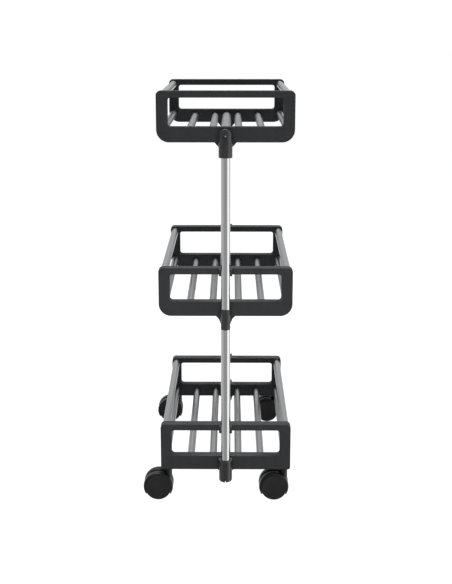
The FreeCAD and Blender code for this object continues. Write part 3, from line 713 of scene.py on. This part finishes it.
WHEEL_RADIUS, WHEEL_FACE, TREAD_ROUND, RIM, DISC = 25 * MM, 18 * MM, 1.5 * MM, 3.2 * MM, 3 * MM
HOOD_INNER, HOOD_OUTER, HOOD_HALF = 26 * MM, 28.8 * MM, 16.5 * MM
HOOD_SWEEP = math.radians(241)
CREST, CREST_HALF, SHOULDER, VALLEY = 9.1 * MM, 7.2 * MM, 26.4 * MM, 24.5 * MM
WEB_HALF, WEB_GAP, HUB_RADIUS, BORE = 5.5 * MM, 0.7 * MM, 7 * MM, 2.55 * MM
BOSS_RADIUS, BOSS_LOW, BOSS_TOP, TRAIL = 8 * MM, 12.8 * MM, 33.6 * MM, 18.5 * MM
STEM_BORE, STEM_LOW, BOSS_ROUND, WHEEL_SPACE = 4.05 * MM, 6 * MM, 1.2 * MM, 0.4 * MM
ARCH_POWER, ARCH_STEPS, HOOD_STEPS, FINE_POINT = 2.1, 20, 84, 0.01 * MM
DISH, DISH_EDGE, DISH_RISE, RIM_CHAMFER, DISC_FILLET = 0.25 * MM, 4 * MM, 3.4 * MM, 0.4 * MM, 1 * MM
RIB_THICK, RIB_DEPTH, RIB_SINK = 1.4 * MM, 5.4 * MM, 0.3 * MM
AXLE_HALF, AXLE_RADIUS, AXLE_ROUND, WHEEL_STEPS, RIB_COUNT = 14.5 * MM, 2.5 * MM, 0.4 * MM, 96, 8
ALONG_AXLE = Matrix.Rotation(math.radians(-90), 4, "X")

caster_plastic = grained_plastic("caster_plastic", (0.0035, 0.0035, 0.0038), (0.005, 0.005, 0.0053),
                                 0.30, 2200.0, 0.35)
wheel_plastic = grained_plastic("wheel_plastic", (0.0075, 0.0075, 0.0079), (0.010, 0.010, 0.0105),
                                0.58, 1500.0, 0.25)


def hood_profile():
    """Half section of hood and web, as (along the axle, radius): two round arches and a valley."""
    arches = []
    for side in (-1, 1):
        arch = []
        for n in range(ARCH_STEPS + 1):
            across = -1 + 2 * n / ARCH_STEPS
            rise = (1 - abs(across) ** ARCH_POWER) ** (1 / ARCH_POWER)
            arch.append((side * CREST + across * CREST_HALF, SHOULDER + (HOOD_OUTER - SHOULDER) * rise))
        groove = (-side * (CREST_HALF - CREST), VALLEY)
        arches += arch + [groove] if side < 0 else [groove] + arch
    edge = [(HOOD_HALF, SHOULDER - 0.2 * MM), (HOOD_HALF, HOOD_INNER)]
    return ([(-y, radius) for y, radius in reversed(edge)] + arches + edge
            + [(WEB_HALF, HOOD_INNER), (WEB_HALF, POINT), (-WEB_HALF, POINT),
               (-WEB_HALF, HOOD_INNER)])


def rod_mesh(name, low, high, radius, rounding=0.0, steps=48):
    """A solid round bar along Z from low to high, its top edge rounded."""
    corner = [(high - rounding * (1 - math.sin(a)), radius - rounding * (1 - math.cos(a)))
              for a in (math.radians(15 * n) for n in range(7))] if rounding else [(high, radius)]
    return settle(turned(name, [(low, FINE_POINT), (low, radius)] + corner + [(high, FINE_POINT)],
                         steps))


def housing_mesh():
    """The housing about its axle: hood and web, boss and hub, with both bores cut."""
    hood = turned("hood", hood_profile(), HOOD_STEPS, HOOD_SWEEP, math.pi / 2 - HOOD_SWEEP / 2)
    hood.transform(Matrix.Rotation(math.radians(90), 4, "X"))
    body = settle(hood)
    boss = rod_mesh("boss", BOSS_LOW, BOSS_TOP, BOSS_RADIUS, BOSS_ROUND)
    boss.transform(Matrix.Translation((TRAIL, 0, 0)))
    for side in (-1, 1):
        near, far = sorted((side * WEB_HALF, side * HOOD_HALF))
        space = rod_mesh("space", near, far, HOOD_INNER + WHEEL_SPACE, steps=WHEEL_STEPS)
        space.transform(ALONG_AXLE)
        boss = merged("boss", boss, space, "DIFFERENCE")
    body = merged("housing", body, boss, "UNION")
    hub = rod_mesh("hub", -WEB_HALF - 0.05 * MM, WEB_HALF + 0.05 * MM, HUB_RADIUS)
    hub.transform(ALONG_AXLE)
    body = merged("housing", body, hub, "UNION")
    axle_bore = rod_mesh("axle_bore", -HOOD_HALF, HOOD_HALF, BORE)
    axle_bore.transform(ALONG_AXLE)
    body = merged("housing", body, axle_bore, "DIFFERENCE")
    stem_bore = rod_mesh("stem_bore", STEM_LOW, BOSS_TOP + 3 * MM, STEM_BORE)
    stem_bore.transform(Matrix.Translation((TRAIL, 0, 0)))
    return settle(merged("housing", body, stem_bore, "DIFFERENCE"))


def rib_group():
    """Flat ribs round the Z axis, between two radii, all at Height."""
    tree, given, out = new_group("wheel_ribs", ("Inner", "Outer", "Thick", "Depth", "Height"))
    span = add(tree, "ShaderNodeMath", {"operation": "SUBTRACT"},
               {0: given.outputs["Outer"], 1: given.outputs["Inner"]})
    total = add(tree, "ShaderNodeMath", {"operation": "ADD"},
                {0: given.outputs["Outer"], 1: given.outputs["Inner"]})
    middle_radius = add(tree, "ShaderNodeMath", {"operation": "MULTIPLY"}, {0: total.outputs[0], 1: 0.5})
    ring = add(tree, "GeometryNodeMeshCircle",
               inputs={"Vertices": RIB_COUNT, "Radius": middle_radius.outputs[0]})
    size = add(tree, "ShaderNodeCombineXYZ", inputs={
        "X": span.outputs[0], "Y": given.outputs["Thick"], "Z": given.outputs["Depth"]})
    rib = add(tree, "GeometryNodeMeshCube", inputs={"Size": size.outputs[0]})
    lift = add(tree, "ShaderNodeCombineXYZ", inputs={"Z": given.outputs["Height"]})
    raised = add(tree, "GeometryNodeTransform",
                 inputs={"Geometry": rib.outputs[0], "Translation": lift.outputs[0]})
    at = add(tree, "GeometryNodeInputPosition")
    split = add(tree, "ShaderNodeSeparateXYZ", inputs={0: at.outputs[0]})
    angle = add(tree, "ShaderNodeMath", {"operation": "ARCTAN2"},
                {0: split.outputs["Y"], 1: split.outputs["X"]})
    turn = add(tree, "ShaderNodeCombineXYZ", inputs={"Z": angle.outputs[0]})
    placed = add(tree, "GeometryNodeInstanceOnPoints", inputs={
        "Points": ring.outputs[0], "Instance": raised.outputs[0], "Rotation": turn.outputs[0]})
    close_group(tree, placed.outputs[0], given.outputs["Material"], out)
    return tree


wheel_ribs = rib_group()


def wheel_mesh():
    """One wheel about Z, its closed disc at the top: tread ring, hub and ribs."""
    low, disc_low = WEB_HALF + WEB_GAP, WHEEL_FACE - DISC
    rim = WHEEL_RADIUS - RIM
    corner = [(math.radians(18 * n)) for n in range(6)]
    top = [(WHEEL_FACE - TREAD_ROUND * (1 - math.cos(a)), WHEEL_RADIUS - TREAD_ROUND * (1 - math.sin(a)))
           for a in corner]
    foot = [(low + TREAD_ROUND * (1 - math.sin(a)), WHEEL_RADIUS - TREAD_ROUND * (1 - math.cos(a)))
            for a in corner]
    dish = [(WHEEL_FACE - DISH, FINE_POINT), (WHEEL_FACE - DISH, WHEEL_RADIUS - DISH_EDGE),
            (WHEEL_FACE, WHEEL_RADIUS - DISH_RISE)]
    inside = [(low, rim + RIM_CHAMFER), (low + RIM_CHAMFER, rim), (disc_low - DISC_FILLET, rim),
              (disc_low, rim - DISC_FILLET), (disc_low, HUB_RADIUS), (low, HUB_RADIUS), (low, BORE),
              (disc_low, BORE), (disc_low, FINE_POINT)]
    shell = turned("wheel", dish + top + foot + inside, WHEEL_STEPS)
    ribs = run_group("ribs", wheel_ribs, wheel_plastic, Inner=HUB_RADIUS - RIB_SINK,
                     Outer=rim + RIB_SINK, Thick=RIB_THICK, Depth=RIB_DEPTH,
                     Height=disc_low - RIB_DEPTH / 2 + 0.1 * MM)
    return settle(joined("wheel", shell, ribs))


housing = housing_mesh()
wheel = wheel_mesh()
axle = rod_mesh("axle", -AXLE_HALF, AXLE_HALF, AXLE_RADIUS, AXLE_ROUND)
axle.transform(ALONG_AXLE)
for end in END_SIGN:
    for side in SIDE_SIGN:
        corner = f"{end}_{side}"
        name = f"caster_{corner}"
        axle_low, axle_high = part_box(name + "_axle")
        centre = Matrix.Translation((axle_low + axle_high) / 2)
        for part, shape, material, slot, body in (
                ("housing", housing, caster_plastic, "caster_plastic", f"swivel_{corner}"),
                ("axle", axle, steel, "steel", f"swivel_{corner}")):
            mesh = shape.copy()
            mesh.transform(centre)
            piece(f"{part}_{corner}", mesh, material, body, [f"{name}_{part}"])
        for part in ("outer", "inner"):
            wheel_low, wheel_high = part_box(f"{name}_wheel_{part}")
            outwards = 1 if (wheel_low.y + wheel_high.y) / 2 > centre.translation.y else -1
            mesh = wheel.copy()
            mesh.transform(centre @ Matrix.Rotation(math.radians(-90 * outwards), 4, "X"))
            piece(f"wheel_{corner}_{part}", settle(mesh), wheel_plastic,
                  f"wheel_{corner}_{part}", [f"{name}_wheel_{part}"])
for used in (housing, wheel, axle):
    bpy.data.meshes.remove(used)

# ---- Studio -------------------------------------------------------------------------------------
# A pale floor in a bright room that is dimmer in front, brighter behind and overhead, with a tall
# strip of light on the right. The lamps are a wide ceiling, which alone is mirrored, one overhead,
# a wash from behind on each side and a soft fill in front.

FRONT_GLOW, SIDE_GLOW, BACK_GLOW = 0.38, 0.60, 1.0
HORIZON_DIP, UPPER_GAIN, SOFT_SHARE = 0.45, 0.3, 0.35
STRIP_TURN, STRIP_EDGE, STRIP_CORE, STRIP_GLOW = (
    math.radians(72), math.radians(31), math.radians(21), 0.85)
FLOOR_GLOW, FLOOR_WHITE, FLOOR_RADIUS = 1.17, 0.86, 40.0
ROOM_WHITE = 1.05


def studio_floor():
    """White under the eye with faint soft shadows, and pale for the light that it throws back."""
    finish = Finish("studio_floor")
    tone = finish.noise(finish.place(), 3.0, 2.0)
    shade = finish.node("ShaderNodeBsdfDiffuse", {}, {
        "Color": finish.mix(finish.ramp(tone, 0.3, 0.7), (0.34, 0.34, 0.34), (0.36, 0.36, 0.36))})
    glow = finish.node("ShaderNodeEmission", {}, {"Color": (1, 1, 1, 1), "Strength": FLOOR_GLOW})
    seen = finish.node("ShaderNodeLightPath", output="Is Camera Ray")
    finish.node_output(finish.node("ShaderNodeMixShader", {}, {0: seen * FLOOR_WHITE, 1: shade, 2: glow}))
    work = bmesh.new()
    bmesh.ops.create_circle(work, cap_ends=True, segments=96, radius=FLOOR_RADIUS)
    mesh = bpy.data.meshes.new("studio_floor")
    work.to_mesh(mesh)
    work.free()
    mesh.materials.append(finish.material)
    thing = bpy.data.objects.new("studio_floor", mesh)
    bpy.context.scene.collection.objects.link(thing)
    thing.visible_glossy = False


def area_light(name, place, target, width, height, power, mirrored_in_metal=True):
    lamp = bpy.data.lights.new(name, "AREA")
    lamp.shape, lamp.size, lamp.size_y, lamp.energy = "RECTANGLE", width, height, power
    thing = bpy.data.objects.new(name, lamp)
    bpy.context.scene.collection.objects.link(thing)
    thing.location = place
    thing.rotation_euler = (Vector(target) - Vector(place)).to_track_quat("-Z", "Y").to_euler()
    thing.visible_camera = False
    thing.visible_glossy = mirrored_in_metal


def surround():
    """White to the eye; as light it grows from the camera's side to the back, with the strip."""
    world = bpy.data.worlds.new("surround")
    bpy.context.scene.world = world
    world.use_nodes = True
    tree = world.node_tree
    tree.nodes.clear()
    here = add(tree, "ShaderNodeTexCoord")
    level = add(tree, "ShaderNodeVectorMath", {"operation": "MULTIPLY"},
                {0: here.outputs["Generated"], 1: (1.0, 1.0, 0.0)})
    compass = add(tree, "ShaderNodeVectorMath", {"operation": "NORMALIZE"}, {0: level.outputs[0]})
    split = add(tree, "ShaderNodeSeparateXYZ", inputs={0: compass.outputs[0]})
    height = add(tree, "ShaderNodeSeparateXYZ", inputs={0: here.outputs["Generated"]})
    sides = add(tree, "ShaderNodeMapRange", {"interpolation_type": "SMOOTHSTEP"},
                {"Value": split.outputs["Y"], "From Min": -1.0, "From Max": -0.3,
                 "To Min": FRONT_GLOW, "To Max": SIDE_GLOW})
    behind = add(tree, "ShaderNodeMapRange", {"interpolation_type": "SMOOTHSTEP"},
                 {"Value": split.outputs["Y"], "From Min": 0.3, "From Max": 0.95,
                  "To Min": 0.0, "To Max": BACK_GLOW - SIDE_GLOW})
    room = add(tree, "ShaderNodeMath", {"operation": "ADD"}, {0: sides.outputs[0], 1: behind.outputs[0]})
    below = add(tree, "ShaderNodeMapRange", {"interpolation_type": "SMOOTHSTEP"},
                {"Value": height.outputs["Z"], "From Min": -0.12, "From Max": 0.02,
                 "To Min": 0.0, "To Max": HORIZON_DIP})
    above = add(tree, "ShaderNodeMapRange", {"interpolation_type": "SMOOTHSTEP"},
                {"Value": height.outputs["Z"], "From Min": 0.08, "From Max": 0.42,
                 "To Min": 1.0, "To Max": 1.0 + UPPER_GAIN})
    level_gain = add(tree, "ShaderNodeMath", {"operation": "SUBTRACT"},
                     {0: above.outputs[0], 1: below.outputs[0]})
    towards = add(tree, "ShaderNodeVectorMath", {"operation": "DOT_PRODUCT"},
                  {0: compass.outputs[0], 1: (math.sin(STRIP_TURN), -math.cos(STRIP_TURN), 0.0)})
    strip = add(tree, "ShaderNodeMapRange", {"interpolation_type": "SMOOTHSTEP"},
                {"Value": towards.outputs["Value"], "From Min": math.cos(STRIP_EDGE),
                 "From Max": math.cos(STRIP_CORE), "To Min": 0.0, "To Max": STRIP_GLOW})
    glow = add(tree, "ShaderNodeMath", {"operation": "ADD"}, {0: room.outputs[0], 1: strip.outputs[0]})
    path = add(tree, "ShaderNodeLightPath")
    soft = add(tree, "ShaderNodeMapRange", {}, {"Value": path.outputs["Is Diffuse Ray"],
                                               "To Min": 1.0, "To Max": SOFT_SHARE})
    shaped = add(tree, "ShaderNodeMath", {"operation": "MULTIPLY"},
                 {0: glow.outputs[0], 1: level_gain.outputs[0]})
    strength = add(tree, "ShaderNodeMath", {"operation": "MULTIPLY"},
                   {0: shaped.outputs[0], 1: soft.outputs[0]})
    lit = add(tree, "ShaderNodeBackground", inputs={"Strength": strength.outputs[0]})
    seen = add(tree, "ShaderNodeBackground", inputs={"Strength": ROOM_WHITE})
    for shade in (lit, seen):
        shade.inputs["Color"].default_value = (1, 1, 1, 1)
    choice = add(tree, "ShaderNodeMixShader", inputs={
        0: path.outputs["Is Camera Ray"], 1: lit.outputs[0], 2: seen.outputs[0]})
    out = add(tree, "ShaderNodeOutputWorld")
    tree.links.new(choice.outputs[0], out.inputs["Surface"])


studio_floor()
surround()
middle = (cad_low + cad_high) / 2
area_light("ceiling", (0.0, 0.3, 2.8), middle, 2.2, 2.2, 40.0)
area_light("overhead", (0.0, 0.3, 2.8), middle, 1.4, 1.4, 55.0, mirrored_in_metal=False)
for side, sign in SIDE_SIGN.items():
    area_light(f"wash_{side}", (1.3 * sign, 0.85, 1.75), (0.0, 0.0, 0.35), 0.9, 0.9, 120.0,
               mirrored_in_metal=False)
area_light("fill", (0.0, -0.75, 0.42), (0.0, 0.0, 0.42), 0.6, 1.0, 6.5, mirrored_in_metal=False)

camera_data = bpy.data.cameras.new("camera")
camera_data.lens, camera_data.sensor_width = 55.68, 36.0
camera_data.shift_y = -0.15
camera = bpy.data.objects.new("camera", camera_data)
bpy.context.scene.collection.objects.link(camera)
camera.location = (0.0104, -1.8029, 0.9013)
camera.rotation_euler = (math.radians(90 - 11.17), 0, math.radians(0.34))
bpy.context.scene.camera = camera
bpy.context.scene.view_settings.view_transform = "Standard"
